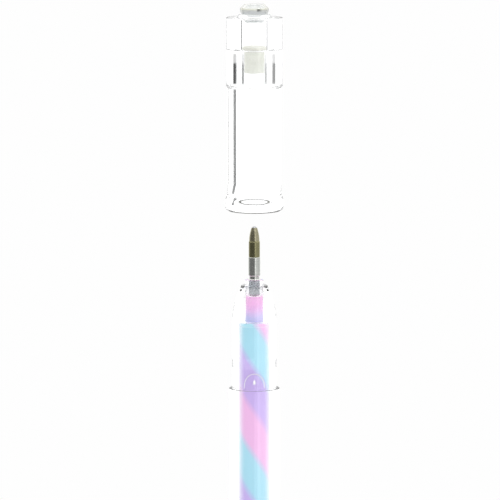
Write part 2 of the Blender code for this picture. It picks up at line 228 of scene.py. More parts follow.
def turned(name, profile, closed=True, angles=None, finish=None):
    """Turn a profile (mm) round Z. An open profile starts and ends on the axis; a closed one is a ring."""
    angles = angles or even_angles(ROUND_STEPS)
    shape = bmesh.new()
    rings = []
    for radius, height in profile:
        if radius < 1e-6:
            rings.append([shape.verts.new((0.0, 0.0, height * MM))])
        else:
            rings.append([
                shape.verts.new((radius * math.cos(a) * MM, radius * math.sin(a) * MM, height * MM))
                for a in angles
            ])
    pairs = list(zip(rings, rings[1:])) + ([(rings[-1], rings[0])] if closed else [])
    count = len(angles)
    for low, high in pairs:
        for i in range(count):
            k = (i + 1) % count
            corners = [low[i % len(low)], low[k % len(low)], high[k % len(high)], high[i % len(high)]]
            corners = list(dict.fromkeys(corners))
            if len(corners) > 2:
                shape.faces.new(corners)
    bmesh.ops.recalc_face_normals(shape, faces=shape.faces)
    mesh = bpy.data.meshes.new(name)
    shape.to_mesh(mesh)
    shape.free()
    return placed(name, mesh, finish)


def placed(name, mesh, finish):
    mesh.name = name
    mesh.shade_smooth()
    mesh.set_sharp_from_angle(angle=SHARP_ANGLE)
    mesh.materials.clear()
    mesh.materials.append(finish)
    piece = bpy.data.objects.new(name, mesh)
    bpy.context.scene.collection.objects.link(piece)
    return piece


def stand_for(piece, body, slot, *nodes):
    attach(piece, body)
    if nodes:
        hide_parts(*nodes)
    return piece


# ---------------------------------------------------------------- material nodes

def add_node(tree, kind, settings=None, **inputs):
    """Add a node and set or link its inputs, called by name, with _ for a space, or by number, i0, i1."""
    made = tree.nodes.new(kind)
    for key, value in (settings or {}).items():
        setattr(made, key, value)
    for key, value in inputs.items():
        by_number = key[0] == "i" and key[1:].isdigit()
        socket = made.inputs[int(key[1:]) if by_number else key.replace("_", " ")]
        if isinstance(value, bpy.types.NodeSocket):
            tree.links.new(value, socket)
        else:
            socket.default_value = value
    return made


def maths(tree, operation, a, b=0.0):
    return add_node(tree, "ShaderNodeMath", {"operation": operation}, i0=a, i1=b).outputs[0]


def object_place(tree):
    return add_node(tree, "ShaderNodeTexCoord").outputs["Object"]


def split(tree, vector):
    return add_node(tree, "ShaderNodeSeparateXYZ", Vector=vector).outputs


def combined(tree, x=0.0, y=0.0, z=0.0):
    return add_node(tree, "ShaderNodeCombineXYZ", X=x, Y=y, Z=z).outputs[0]


def noise(tree, place, scale, detail):
    return add_node(tree, "ShaderNodeTexNoise", Vector=place, Scale=scale, Detail=detail).outputs["Fac"]


def spread_over(tree, value, low, high, to_low=0.0, to_high=1.0, smooth=False):
    made = add_node(
        tree, "ShaderNodeMapRange", {"interpolation_type": "SMOOTHSTEP" if smooth else "LINEAR"},
        Value=value, From_Min=low, From_Max=high, To_Min=to_low, To_Max=to_high,
    )
    return made.outputs[0]


def mixed(tree, share, a, b):
    made = add_node(tree, "ShaderNodeMix", {"data_type": "RGBA"})
    for socket, value in ((made.inputs[0], share), (made.inputs[6], a), (made.inputs[7], b)):
        if isinstance(value, bpy.types.NodeSocket):
            tree.links.new(value, socket)
        else:
            socket.default_value = value
    return made.outputs[2]


def colour_ramp(tree, share, stops):
    """A ramp through (position, colour) stops, the first at 0 and the last at 1."""
    ramp = add_node(tree, "ShaderNodeValToRGB", Fac=share)
    marks = ramp.color_ramp.elements
    marks[0].position, marks[0].color = stops[0]
    marks[1].position, marks[1].color = stops[-1]
    for position, colour in stops[1:-1]:
        marks.new(position).color = colour
    return ramp.outputs["Color"]


def new_group(name, inputs, outputs):
    tree = bpy.data.node_groups.new(name, "ShaderNodeTree")
    for label, kind, value in inputs:
        socket = tree.interface.new_socket(label, in_out="INPUT", socket_type=kind)
        socket.default_value = value
    for label, kind in outputs:
        tree.interface.new_socket(label, in_out="OUTPUT", socket_type=kind)
    return tree, tree.nodes.new("NodeGroupInput"), tree.nodes.new("NodeGroupOutput")


def use_group(tree, group, **inputs):
    made = tree.nodes.new("ShaderNodeGroup")
    made.node_tree = group
    for key, value in inputs.items():
        socket = made.inputs[key.replace("_", " ")]
        if isinstance(value, bpy.types.NodeSocket):
            tree.links.new(value, socket)
        else:
            socket.default_value = value
    return made.outputs


def new_material(name):
    made = bpy.data.materials.new(name)
    made.use_nodes = True
    tree = made.node_tree
    return made, tree, tree.nodes["Principled BSDF"]


def set_inputs(shader, **values):
    for key, value in values.items():
        shader.inputs[key.replace("_", " ")].default_value = value


def join(tree, output, socket):
    tree.links.new(output, socket)


FLOAT, COLOUR = "NodeSocketFloat", "NodeSocketColor"


def mould_flow_group():
    """Faint waves left by the plastic as it filled the mould, drawn out along the pen, and fine rubbing."""
    tree, given, made = new_group(
        "mould_flow",
        [("Wave Size", FLOAT, 260.0), ("Stretch", FLOAT, 0.12), ("Rubbing Size", FLOAT, 2600.0)],
        [("Height", FLOAT), ("Rubbing", FLOAT)],
    )
    parts = split(tree, object_place(tree))
    drawn = combined(tree, parts[0], parts[1], maths(tree, "MULTIPLY", parts[2], given.outputs["Stretch"]))
    rubbing = noise(tree, drawn, given.outputs["Rubbing Size"], 3.0)
    join(tree, noise(tree, drawn, given.outputs["Wave Size"], 1.5), made.inputs["Height"])
    join(tree, spread_over(tree, rubbing, 0.45, 0.75, smooth=True), made.inputs["Rubbing"])
    return tree


def turning_marks_group():
    """Fine rings left by the lathe tool, with a little chatter round the piece."""
    tree, given, made = new_group(
        "turning_marks",
        [("Ring Density", FLOAT, 16000.0), ("Chatter", FLOAT, 0.15)],
        [("Height", FLOAT), ("Band", FLOAT)],
    )
    density = given.outputs["Ring Density"]
    parts = split(tree, object_place(tree))
    squeeze = maths(tree, "MULTIPLY", given.outputs["Chatter"], 0.12)
    sides = [maths(tree, "MULTIPLY", parts[i], squeeze) for i in (0, 1)]
    rings = combined(tree, *sides, parts[2])
    broad = noise(tree, rings, maths(tree, "MULTIPLY", density, 0.12), 1.0)
    join(tree, noise(tree, rings, density, 2.0), made.inputs["Height"])
    join(tree, spread_over(tree, broad, 0.3, 0.7, smooth=True), made.inputs["Band"])
    return tree


def speckle_group():
    """Soft mottling and a fine grain for rubber, matt plastic and grease."""
    tree, given, made = new_group(
        "speckle", [("Mottle Size", FLOAT, 700.0), ("Grain Size", FLOAT, 9000.0)],
        [("Mottle", FLOAT), ("Grain", FLOAT)],
    )
    place = object_place(tree)
    mottle = noise(tree, place, given.outputs["Mottle Size"], 2.0)
    join(tree, spread_over(tree, mottle, 0.3, 0.7, smooth=True), made.inputs["Mottle"])
    join(tree, noise(tree, place, given.outputs["Grain Size"], 3.0), made.inputs["Grain"])
    return tree


def gel_band_group():
    """Colour of one ink band by the place along and across it: its own, run into its neighbours'."""
    tree, given, made = new_group(
        "gel_band",
        [(label, COLOUR, (1, 1, 1, 1)) for label in ("Own", "Before", "After")]
        + [("Run", FLOAT, 0.13), ("Streaks", FLOAT, 0.05)],
        [("Colour", COLOUR), ("Gloss", FLOAT)],
    )
    across = add_node(tree, "ShaderNodeAttribute", {"attribute_name": "across"}).outputs["Fac"]
    along = add_node(tree, "ShaderNodeAttribute", {"attribute_name": "along"}).outputs["Fac"]
    wisps = noise(tree, combined(tree, across, maths(tree, "MULTIPLY", along, 9.0), 0.5), 5.0, 3.0)
    drift = maths(tree, "MULTIPLY", maths(tree, "SUBTRACT", wisps, 0.5), given.outputs["Streaks"])
    across = maths(tree, "ADD", across, drift)
    near = spread_over(tree, across, 0.0, given.outputs["Run"], 0.5, 0.0, smooth=True)
    far_start = maths(tree, "SUBTRACT", 1.0, given.outputs["Run"])
    far = spread_over(tree, across, far_start, 1.0, 0.0, 0.5, smooth=True)
    colour = mixed(tree, near, given.outputs["Own"], given.outputs["Before"])
    colour = mixed(tree, far, colour, given.outputs["After"])
    join(tree, colour, made.inputs["Colour"])
    join(tree, spread_over(tree, wisps, 0.3, 0.7), made.inputs["Gloss"])
    return tree


MOULD_FLOW = mould_flow_group()
TURNING_MARKS = turning_marks_group()
SPECKLE = speckle_group()
GEL_BAND = gel_band_group()


WAVE_DEPTH = 0.002 * MM
TOOL_MARK_DEPTH = 0.004 * MM
GRAIN_DEPTH = 0.01 * MM


def clear_plastic(name, tint, ior, wave_size=260.0):
    made, tree, shader = new_material(name)
    set_inputs(shader, Base_Color=tint, Transmission_Weight=1.0, IOR=ior, Metallic=0.0)
    flow = use_group(tree, MOULD_FLOW, Wave_Size=wave_size)
    join(tree, spread_over(tree, flow["Rubbing"], 0.0, 1.0, 0.0, 0.012), shader.inputs["Roughness"])
    wave = add_node(tree, "ShaderNodeBump", Strength=0.1, Distance=WAVE_DEPTH, Height=flow["Height"])
    join(tree, wave.outputs["Normal"], shader.inputs["Normal"])
    return made


def turned_metal(name, bright, dull, roughness, chatter=0.15, foot=None):
    """Turned metal. Below foot, a height (mm) and a colour, it has that duller colour, as painted shade."""
    made, tree, shader = new_material(name)
    set_inputs(shader, Metallic=1.0)
    marks = use_group(tree, TURNING_MARKS, Chatter=chatter)
    colour = mixed(tree, marks["Band"], bright, dull)
    if foot:
        height = split(tree, object_place(tree))[2]
        clear_of_shade = spread_over(tree, height, (foot[0] - 0.1) * MM, (foot[0] + 0.1) * MM)
        colour = mixed(tree, clear_of_shade, foot[1], colour)
    join(tree, colour, shader.inputs["Base Color"])
    uneven = spread_over(tree, marks["Height"], 0.2, 0.8, roughness * 0.8, roughness * 1.3)
    join(tree, uneven, shader.inputs["Roughness"])
    rings = add_node(tree, "ShaderNodeBump", Strength=0.3, Distance=TOOL_MARK_DEPTH, Height=marks["Height"])
    join(tree, rings.outputs["Normal"], shader.inputs["Normal"])
    return made


def soft_plastic(name, pale, deep, roughness, transmission=0.0):
    made, tree, shader = new_material(name)
    set_inputs(shader, Transmission_Weight=transmission)
    speckle = use_group(tree, SPECKLE)
    join(tree, mixed(tree, speckle["Mottle"], pale, deep), shader.inputs["Base Color"])
    uneven = spread_over(tree, speckle["Grain"], 0.3, 0.7, roughness * 0.85, roughness * 1.15)
    join(tree, uneven, shader.inputs["Roughness"])
    grain = add_node(tree, "ShaderNodeBump", Strength=0.25, Distance=GRAIN_DEPTH, Height=speckle["Grain"])
    join(tree, grain.outputs["Normal"], shader.inputs["Normal"])
    return made


def gel_ink(name, own, before, after):
    made, tree, shader = new_material(name)
    band = use_group(tree, GEL_BAND, Own=own, Before=before, After=after)
    # Painted sheen: the colour is mixed toward near white where the surface turns away from the view,
    # standing in for glare on the clear walls in front, so it looks paler towards the sides.
    side = add_node(tree, "ShaderNodeLayerWeight", Blend=0.5).outputs["Facing"]
    painted_sheen = spread_over(tree, side, 0.1, 0.36, 0.0, 0.8, smooth=True)
    join(tree, mixed(tree, painted_sheen, band["Colour"], EDGE_SHEEN_WHITE), shader.inputs["Base Color"])
    join(tree, spread_over(tree, band["Gloss"], 0.0, 1.0, 0.3, 0.45), shader.inputs["Roughness"])
    set_inputs(shader, IOR=1.4, Specular_IOR_Level=0.3)
    return made


BLUE_GEL = (0.44, 0.77, 0.86, 1.0)
PURPLE_GEL = (0.63, 0.48, 0.84, 1.0)
PINK_GEL = (0.91, 0.54, 0.81, 1.0)
# Painted sheen: the near white the ink colour turns to at its silhouette
EDGE_SHEEN_WHITE = (0.97, 0.98, 1.0, 1.0)

CLEAR_BARREL = clear_plastic("clear_barrel", (0.99, 0.995, 1.0, 1.0), 1.59)
CLEAR_CAP = clear_plastic("clear_cap", (0.99, 0.995, 0.995, 1.0), 1.59, wave_size=300.0)
CLEAR_REFILL = clear_plastic("clear_refill", (0.99, 0.99, 1.0, 1.0), 1.49)
# Painted shade: the sleeve's stem, below the top of the clear neck, is given a dark grey colour
NICKEL = turned_metal("nickel", (0.90, 0.92, 0.87, 1.0), (0.78, 0.80, 0.76, 1.0), 0.22,
                      foot=(NECK_TOP, (0.34, 0.36, 0.38, 1.0)))
# Painted shade: the brass below the cone's shoulder is given a darker colour than the cone
BRASS = turned_metal("brass", (0.62, 0.58, 0.40, 1.0), (0.54, 0.50, 0.33, 1.0), 0.25,
                     foot=(POINT_SHOULDER + 0.1, (0.38, 0.36, 0.20, 1.0)))
BALL_METAL = turned_metal("ball_metal", (0.55, 0.55, 0.55, 1.0), (0.45, 0.45, 0.47, 1.0), 0.1, chatter=1.0)
SEAL_WHITE = soft_plastic("seal_white", (0.70, 0.70, 0.63, 1.0), (0.65, 0.65, 0.58, 1.0), 0.5)
MILKY_PLASTIC = soft_plastic("milky_plastic", (0.86, 0.87, 0.86, 1.0), (0.78, 0.80, 0.80, 1.0), 0.38,
                             transmission=0.35)
GREASE = soft_plastic("grease", (0.88, 0.86, 0.74, 1.0), (0.80, 0.77, 0.62, 1.0), 0.3, transmission=0.4)
# Painted highlight: near-white plastic for the cap catch, standing for the glints off its clear relief
CATCH_HIGHLIGHT = soft_plastic("catch_glint_plastic", (0.95, 0.93, 0.97, 1.0), (0.90, 0.88, 0.94, 1.0), 0.25)
# Painted shade: dark plastic for the ring round the cap's mouth
MOUTH_SHADE = soft_plastic("mouth_shade_ring", (0.22, 0.22, 0.20, 1.0), (0.18, 0.18, 0.17, 1.0), 0.45)
BLUE_INK = gel_ink("blue_gel", BLUE_GEL, PURPLE_GEL, PINK_GEL)
PURPLE_INK = gel_ink("purple_gel", PURPLE_GEL, PINK_GEL, BLUE_GEL)
PINK_INK = gel_ink("pink_gel", PINK_GEL, BLUE_GEL, PURPLE_GEL)


# Painted shade and a painted pale yellow highlight up the crown, from the foot of its peg to its flat top
CROWN_PAINTED_SHADES = [
    (0.0, (0.95, 0.96, 0.96, 1)), (0.2, (0.36, 0.38, 0.40, 1)), (0.32, (0.62, 0.65, 0.67, 1)),
    (0.5, (0.40, 0.42, 0.43, 1)), (0.66, (0.40, 0.41, 0.41, 1)), (0.73, (0.8, 0.79, 0.58, 1)),
    (0.82, (0.86, 0.85, 0.78, 1)), (1.0, (0.96, 0.95, 0.93, 1)),
]
# Tints up the ink in the neck, from its foot to the metal stem
NECK_INK_TINTS = [
    (0.0, (0.55, 0.60, 0.86, 1)), (0.3, (0.66, 0.66, 0.90, 1)), (0.5, (0.86, 0.62, 0.88, 1)),
    (0.75, (0.93, 0.56, 0.84, 1)), (1.0, (0.95, 0.58, 0.84, 1)),
]
NECK_INK_FOOT = 122.2
NECK_INK_HEAD = 127.8
NECK_INK_DRIFT = 1.2


def crown_plastic():
    """The crown's plastic: clear on top, with painted shade in grey bands round its peg and neck and a
    painted pale yellow highlight at its girdle.
    """
    made, tree, shader = new_material("crown_painted_shade")
    height = split(tree, object_place(tree))[2]
    low, high = (CAP_MOUTH + CROWN_STEM_BOTTOM) * MM, (CAP_MOUTH + CROWN_TOP) * MM
    tint = colour_ramp(tree, spread_over(tree, height, low, high), CROWN_PAINTED_SHADES)
    join(tree, tint, shader.inputs["Base Color"])
    flow = use_group(tree, MOULD_FLOW, Wave_Size=300.0)
    join(tree, spread_over(tree, flow["Rubbing"], 0.0, 1.0, 0.16, 0.24), shader.inputs["Roughness"])
    set_inputs(shader, Transmission_Weight=1.0, IOR=1.59, Metallic=0.0)
    return made


SHADED_CROWN = crown_plastic()


def mixed_ink():
    """The ink in the refill's neck: blue at the foot, through lavender, to pink under the metal stem."""
    made, tree, shader = new_material("mixed_gel")
    place = object_place(tree)
    wisps = noise(tree, place, 500.0, 2.0)
    drift = maths(tree, "MULTIPLY", maths(tree, "SUBTRACT", wisps, 0.5), NECK_INK_DRIFT * MM)
    height = maths(tree, "ADD", split(tree, place)[2], drift)
    share = spread_over(tree, height, NECK_INK_FOOT * MM, NECK_INK_HEAD * MM)
    join(tree, colour_ramp(tree, share, NECK_INK_TINTS), shader.inputs["Base Color"])
    join(tree, spread_over(tree, wisps, 0.3, 0.7, 0.3, 0.45), shader.inputs["Roughness"])
    return made


MIXED_INK = mixed_ink()


# ---------------------------------------------------------------- the pen

def barrel_angles():
    """Sides round the barrel, set close together at the front, where the cap catch stands on it."""
    fine_half, fine_step, coarse_step = 36.0, 0.75, 2.5
    angles = []
    angle = -fine_half
    while angle < fine_half - 1e-6:
        angles.append(angle)
        angle += fine_step
    while angle < 360.0 - fine_half - 1e-6:
        angles.append(angle)
        angle += coarse_step
    return [math.radians(a - 90.0) for a in angles]


def nose_curve():
    """The nose's outside, from its flat face down to full width."""
    top = NOSE_TOP - 0.12
    curve = []
    for i in range(NOSE_POINTS):
        share = i / (NOSE_POINTS - 1)
        radius = NOSE_FACE_RADIUS + (NOSE_RADIUS - NOSE_FACE_RADIUS) * (1 - (1 - share) ** 2)
        curve.append((radius, top - (top - NOSE_START) * share))
    return curve


CATCH_HALF_WIDTH = 2.05       # the arch of the cap catch: half its width, its foot and its crest
CATCH_FOOT = 110.75
CATCH_CREST = 113.3
CATCH_RIDGE = 0.17            # half the width of its ridge, and how far that stands proud
CATCH_PROUD = 0.06
CATCH_WIRE = 0.075
CATCH_SWEEP = 98              # degrees of the arch to each side of its crest
CATCH_ROW = 0.06              # spacing of the mesh rows that carry the catch


def catch_height(across, height):
    """How far the cap catch stands proud of the nose at this place (mm)."""
    rise = CATCH_CREST - CATCH_FOOT
    over = math.hypot(across / CATCH_HALF_WIDTH, max(height - CATCH_FOOT, 0.0) / rise) - 1.0
    ridge = 0.0
    if height > CATCH_FOOT - 0.4:
        distance = abs(over) * 0.5 * (CATCH_HALF_WIDTH + rise)
        fade = min(1.0, max(0.0, (height - CATCH_FOOT + 0.4) / 0.4))
        ridge = CATCH_PROUD * max(0.0, 1.0 - (distance / CATCH_RIDGE) ** 2) ** 2 * fade
    reach = math.hypot(across, height - PIP_HEIGHT) / PIP_RADIUS
    pip = PIP_PROUD * max(0.0, 1.0 - reach * reach) ** 0.8 if reach < 1.0 else 0.0
    return max(ridge, pip)


def make_barrel():
    top = [(NOSE_BORE, NOSE_TOP, 0.02), (NOSE_FACE_RADIUS - 0.02, NOSE_TOP, 0.05)]
    side = nose_curve()
    first = CATCH_CREST + 0.5
    rows = [first - i * CATCH_ROW for i in range(int((first - CAP_STOP_HEIGHT - 0.2) / CATCH_ROW))]
    side += [(NOSE_RADIUS, NOSE_START - 0.1)]
    side += [(NOSE_RADIUS, height) for height in rows]
    foot = [(NOSE_RADIUS, CAP_STOP_HEIGHT, 0.02), (BARREL_RADIUS, CAP_STOP_HEIGHT, 0.06),
            (BARREL_RADIUS, BARREL_BOTTOM, 0.15), (REAR_BORE, BARREL_BOTTOM, 0.1),
            (REAR_BORE, REAR_BORE_TOP, 0.1), (BARREL_BORE, REAR_BORE_TOP + 0.4, 0.1),
            (BARREL_BORE, SEAT_HEIGHT - SEAT_LENGTH - SEAT_FUNNEL, 0.5),
            (SEAT_BORE, SEAT_HEIGHT - SEAT_LENGTH, 0.5),
            (SEAT_BORE, SEAT_HEIGHT, 0.05), (NOSE_BORE, SEAT_HEIGHT + 0.05, 0.05)]
    piece = turned("barrel_body", eased(top + side + foot), angles=barrel_angles(), finish=CLEAR_BARREL)
    for vertex in piece.data.vertices:
        x, y, z = (c / MM for c in vertex.co)
        if y < 0.0 and abs(math.hypot(x, y) - NOSE_RADIUS) < 0.01 and z < CATCH_CREST + 0.6:
            across = NOSE_RADIUS * math.atan2(x, -y)
            proud = catch_height(across, z)
            if proud:
                vertex.co.x *= 1 + proud / NOSE_RADIUS
                vertex.co.y *= 1 + proud / NOSE_RADIUS
    return stand_for(piece, "pen_body", "clear_barrel", "barrel")


def make_cap_catch():
    """The moulded catch on the nose: a thin arch with a drop-shaped pip under its crest, in pale plastic as a
    painted highlight.
    """
    def on_nose(across, height, proud):
        turn = across / NOSE_RADIUS
        reach = (NOSE_RADIUS + proud) * MM
        return Vector((reach * math.sin(turn), -reach * math.cos(turn), height * MM))

    rise, sides, steps, drop_steps = CATCH_CREST - CATCH_FOOT, 10, 72, 16
    sweep = [math.radians(CATCH_SWEEP * (2 * i / steps - 1)) for i in range(steps + 1)]
    arch = [(CATCH_HALF_WIDTH * math.sin(a), CATCH_FOOT + rise * math.cos(a)) for a in sweep]
    drop = [(0.0, PIP_HEIGHT - PIP_RADIUS + PIP_LENGTH * i / drop_steps) for i in range(drop_steps + 1)]
    shape = bmesh.new()
    # The arch thins out at its feet; the pip is a drop, full below and drawn to a point above.
    for line, wire, fullness, point in ((arch, CATCH_WIRE, 0.35, 0.0), (drop, PIP_RADIUS * 0.95, 0.5, 0.55)):
        loops = []
        for i, (across, height) in enumerate(line):
            share = i / (len(line) - 1)
            swell = math.sin(math.pi * share) ** fullness * (1.0 - point * share)
            width = max(wire * swell, 0.004)
            ahead = line[min(i + 1, len(line) - 1)]
            behind = line[max(i - 1, 0)]
            run = Vector((ahead[0] - behind[0], ahead[1] - behind[1])).normalized()
            loop = []
            for a in even_angles(sides):
                aside, proud = width * math.cos(a), width * 0.7 * math.sin(a)
                loop.append(shape.verts.new(on_nose(across - run.y * aside, height + run.x * aside, proud)))
            loops.append(loop)
        for lower, upper in zip(loops, loops[1:]):
            for k in range(sides):
                shape.faces.new((lower[k], lower[(k + 1) % sides], upper[(k + 1) % sides], upper[k]))
        shape.faces.new(list(reversed(loops[0])))
        shape.faces.new(loops[-1])
    bmesh.ops.recalc_face_normals(shape, faces=shape.faces)
    mesh = bpy.data.meshes.new("cap_catch")
    shape.to_mesh(mesh)
    shape.free()
    piece = placed("cap_catch", mesh, CATCH_HIGHLIGHT)
    stand_for(piece, "pen_body", "clear_barrel", "barrel")


def make_rear_plug():
    corners = [(0.0, PLUG_FLOOR), (PLUG_SOCKET, PLUG_FLOOR, 0.2), (PLUG_SOCKET, PLUG_TOP, 0.2),
               (PLUG_SPIGOT, PLUG_TOP, 0.3), (PLUG_SPIGOT, PLUG_FLANGE, 0.05),
               (BARREL_RADIUS, PLUG_FLANGE, 0.15), (BARREL_RADIUS, 0.0, 0.3), (0.0, 0.0)]
    piece = turned("rear_plug_cap", eased(corners, closed=False), closed=False, finish=MILKY_PLASTIC)
    drill = [(0.0, -1.0), (VENT_RADIUS, -1.0), (VENT_RADIUS, 4.0), (0.0, 4.0)]
    drill = turned("drill", drill, closed=False, angles=even_angles(32), finish=MILKY_PLASTIC)
    drill.data.transform(Matrix.Translation((VENT_OFFSET * MM, 0.0, 0.0)))
    vent = piece.modifiers.new("vent", "BOOLEAN")
    vent.operation, vent.solver, vent.object = "DIFFERENCE", "EXACT", drill
    mesh = bpy.data.meshes.new_from_object(piece.evaluated_get(bpy.context.evaluated_depsgraph_get()))
    for used in (piece, drill):
        bpy.data.objects.remove(used, do_unlink=True)
    piece = placed("rear_plug_cap", mesh, MILKY_PLASTIC)
    return stand_for(piece, "pen_body", "milky_plug", "rear_plug")


def make_refill():
    tube = eased([(TUBE_BORE, TUBE_TOP, 0.05), (TUBE_RADIUS, TUBE_TOP, 0.1),
                  (TUBE_RADIUS, TUBE_BOTTOM, 0.1), (TUBE_BORE, TUBE_BOTTOM, 0.05)])
    stand_for(turned("ink_tube", tube, finish=CLEAR_REFILL), "pen_body", "clear_refill", "refill_tube")
    connector = eased([
        (STEM_BORE, NECK_TOP, 0.04), (NECK_RADIUS, NECK_TOP, 0.12), (NECK_RADIUS, FLANGE_TOP, 0.18),
        (TUBE_RADIUS, FLANGE_TOP, 0.25), (TUBE_RADIUS, FLANGE_BOTTOM, 0.03),
        (SPIGOT_RADIUS, FLANGE_BOTTOM, 0.03), (SPIGOT_RADIUS, SPIGOT_BOTTOM, 0.18),
        (SPIGOT_BORE, SPIGOT_BOTTOM, 0.05),
        (SPIGOT_BORE, FLANGE_BOTTOM, 0.2), (NECK_INK_BORE, FLANGE_BOTTOM + 0.4, 0.2),
        (NECK_INK_BORE, NECK_INK_TOP, 0.04), (STEM_BORE, NECK_INK_TOP + 0.1, 0.04),
    ])
    piece = turned("neck_holder", connector, angles=even_angles(SMALL_STEPS), finish=CLEAR_REFILL)
    stand_for(piece, "pen_body", "clear_refill", "refill_connector")


def make_tip():
    stem_top = SLEEVE_WAIST_BOTTOM - 0.1
    root = SLEEVE_STEM - GROOVE_DEPTH
    groove_foot = stem_top - GROOVE_PITCH * (GROOVE_COUNT + 0.4)
    corners = [
        (SLEEVE_BORE, SLEEVE_TOP, 0.03), (SLEEVE_RADIUS, SLEEVE_TOP, 0.09),
        (SLEEVE_RADIUS, SLEEVE_SHOULDER + 0.12, 0.06), (SLEEVE_WAIST, SLEEVE_SHOULDER - 0.05, 0.05),
        (SLEEVE_WAIST, SLEEVE_WAIST_BOTTOM, 0.05), (SLEEVE_STEM, stem_top + 0.04, 0.04),
        (SLEEVE_STEM, stem_top - 0.08, 0.02), (root, stem_top - 0.14, 0.02), (root, groove_foot, 0.02),
        (SLEEVE_STEM, groove_foot - 0.06, 0.02), (SLEEVE_STEM, SLEEVE_BOTTOM, 0.15),
        (SLEEVE_CHANNEL, SLEEVE_BOTTOM, 0.05), (SLEEVE_CHANNEL, SLEEVE_CHANNEL_TOP, 0.03),
        (SLEEVE_BORE, SLEEVE_CHANNEL_TOP + 0.1, 0.03),
    ]
    piece = turned("nickel_sleeve", eased(corners), angles=even_angles(SMALL_STEPS), finish=NICKEL)
    stand_for(piece, "pen_body", "nickel", "tip_sleeve")

    centre = BALL_TOP - BALL_RADIUS
    socket = BALL_RADIUS + BALL_CLEARANCE
    cone = []
    for i in range(17):
        share = i / 16
        widened = (POINT_CONE_RADIUS - POINT_RIM_RADIUS) * (1 - (1 - share) ** CONE_FULLNESS)
        radius = POINT_RIM_RADIUS + widened
        cone.append((radius, POINT_RIM_TOP - 0.08 - (POINT_RIM_TOP - 0.08 - POINT_SHOULDER) * share))
    lip = math.asin((POINT_RIM_TOP - centre) / socket)
    channel = -math.acos(POINT_CHANNEL / socket)
    bowl = [(socket * math.cos(a), centre + socket * math.sin(a))
            for a in (channel + (lip - channel) * i / 12 for i in range(13))]
    corners = [(POINT_RIM_RADIUS - 0.02, POINT_RIM_TOP, 0.015)] + cone
    corners += [(POINT_RADIUS, POINT_SHOULDER - 0.1, 0.04), (POINT_RADIUS, POINT_BOTTOM, 0.04),
                (POINT_STEM, POINT_BOTTOM, 0.03), (POINT_STEM, POINT_STEM_BOTTOM, 0.05),
                (POINT_CHANNEL, POINT_STEM_BOTTOM, 0.03)] + bowl
    piece = turned("brass_point", eased(corners), angles=even_angles(SMALL_STEPS), finish=BRASS)
    stand_for(piece, "pen_body", "brass", "tip_point")

    sphere = [(BALL_RADIUS * math.sin(math.pi * i / 32), centre + BALL_RADIUS * math.cos(math.pi * i / 32))
              for i in range(33)]
    sphere[0], sphere[-1] = (0.0, sphere[0][1]), (0.0, sphere[-1][1])
    piece = turned("writing_ball", sphere, closed=False, angles=even_angles(48), finish=BALL_METAL)
    stand_for(piece, "ball", "ball_metal", "tip_ball")


# ---------------------------------------------------------------- shapes made by rule

def new_rule(name, inputs):
    tree = bpy.data.node_groups.new(name, "GeometryNodeTree")
    for label, kind, value in inputs:
        socket = tree.interface.new_socket(label, in_out="INPUT", socket_type=kind)
        if value is not None:
            socket.default_value = value
    tree.interface.new_socket("Geometry", in_out="OUTPUT", socket_type="NodeSocketGeometry")
    return tree, tree.nodes.new("NodeGroupInput").outputs, tree.nodes.new("NodeGroupOutput")


def finished(tree, shape, finish, made):
    """End a rule: real geometry, with its material."""
    shape = add_node(tree, "GeometryNodeRealizeInstances", Geometry=shape).outputs[0]
    shape = add_node(tree, "GeometryNodeSetMaterial", Geometry=shape, Material=finish).outputs[0]
    join(tree, shape, made.inputs[0])


def made_by_rule(name, tree, finish, **values):
    """Run a Geometry Nodes rule with these values and keep its result as a plain mesh."""
    mesh = bpy.data.meshes.new(name)
    holder = bpy.data.objects.new(name + "_rule", mesh)
    bpy.context.scene.collection.objects.link(holder)
    rule = holder.modifiers.new("rule", "NODES")
    rule.node_group = tree
    sockets = {item.name: item.identifier for item in tree.interface.items_tree
               if item.item_type == "SOCKET" and item.in_out == "INPUT"}
    for label, value in values.items():
        rule[sockets[label.replace("_", " ")]] = value
    rule[sockets["Finish"]] = finish
    bpy.context.view_layer.update()
    result = bpy.data.meshes.new_from_object(holder.evaluated_get(bpy.context.evaluated_depsgraph_get()))
    bpy.data.objects.remove(holder, do_unlink=True)
    shape = bmesh.new()
    shape.from_mesh(result)
    bmesh.ops.remove_doubles(shape, verts=shape.verts, dist=1e-8)
    bmesh.ops.recalc_face_normals(shape, faces=shape.faces)
    shape.to_mesh(result)
    shape.free()
    return placed(name, result, finish)


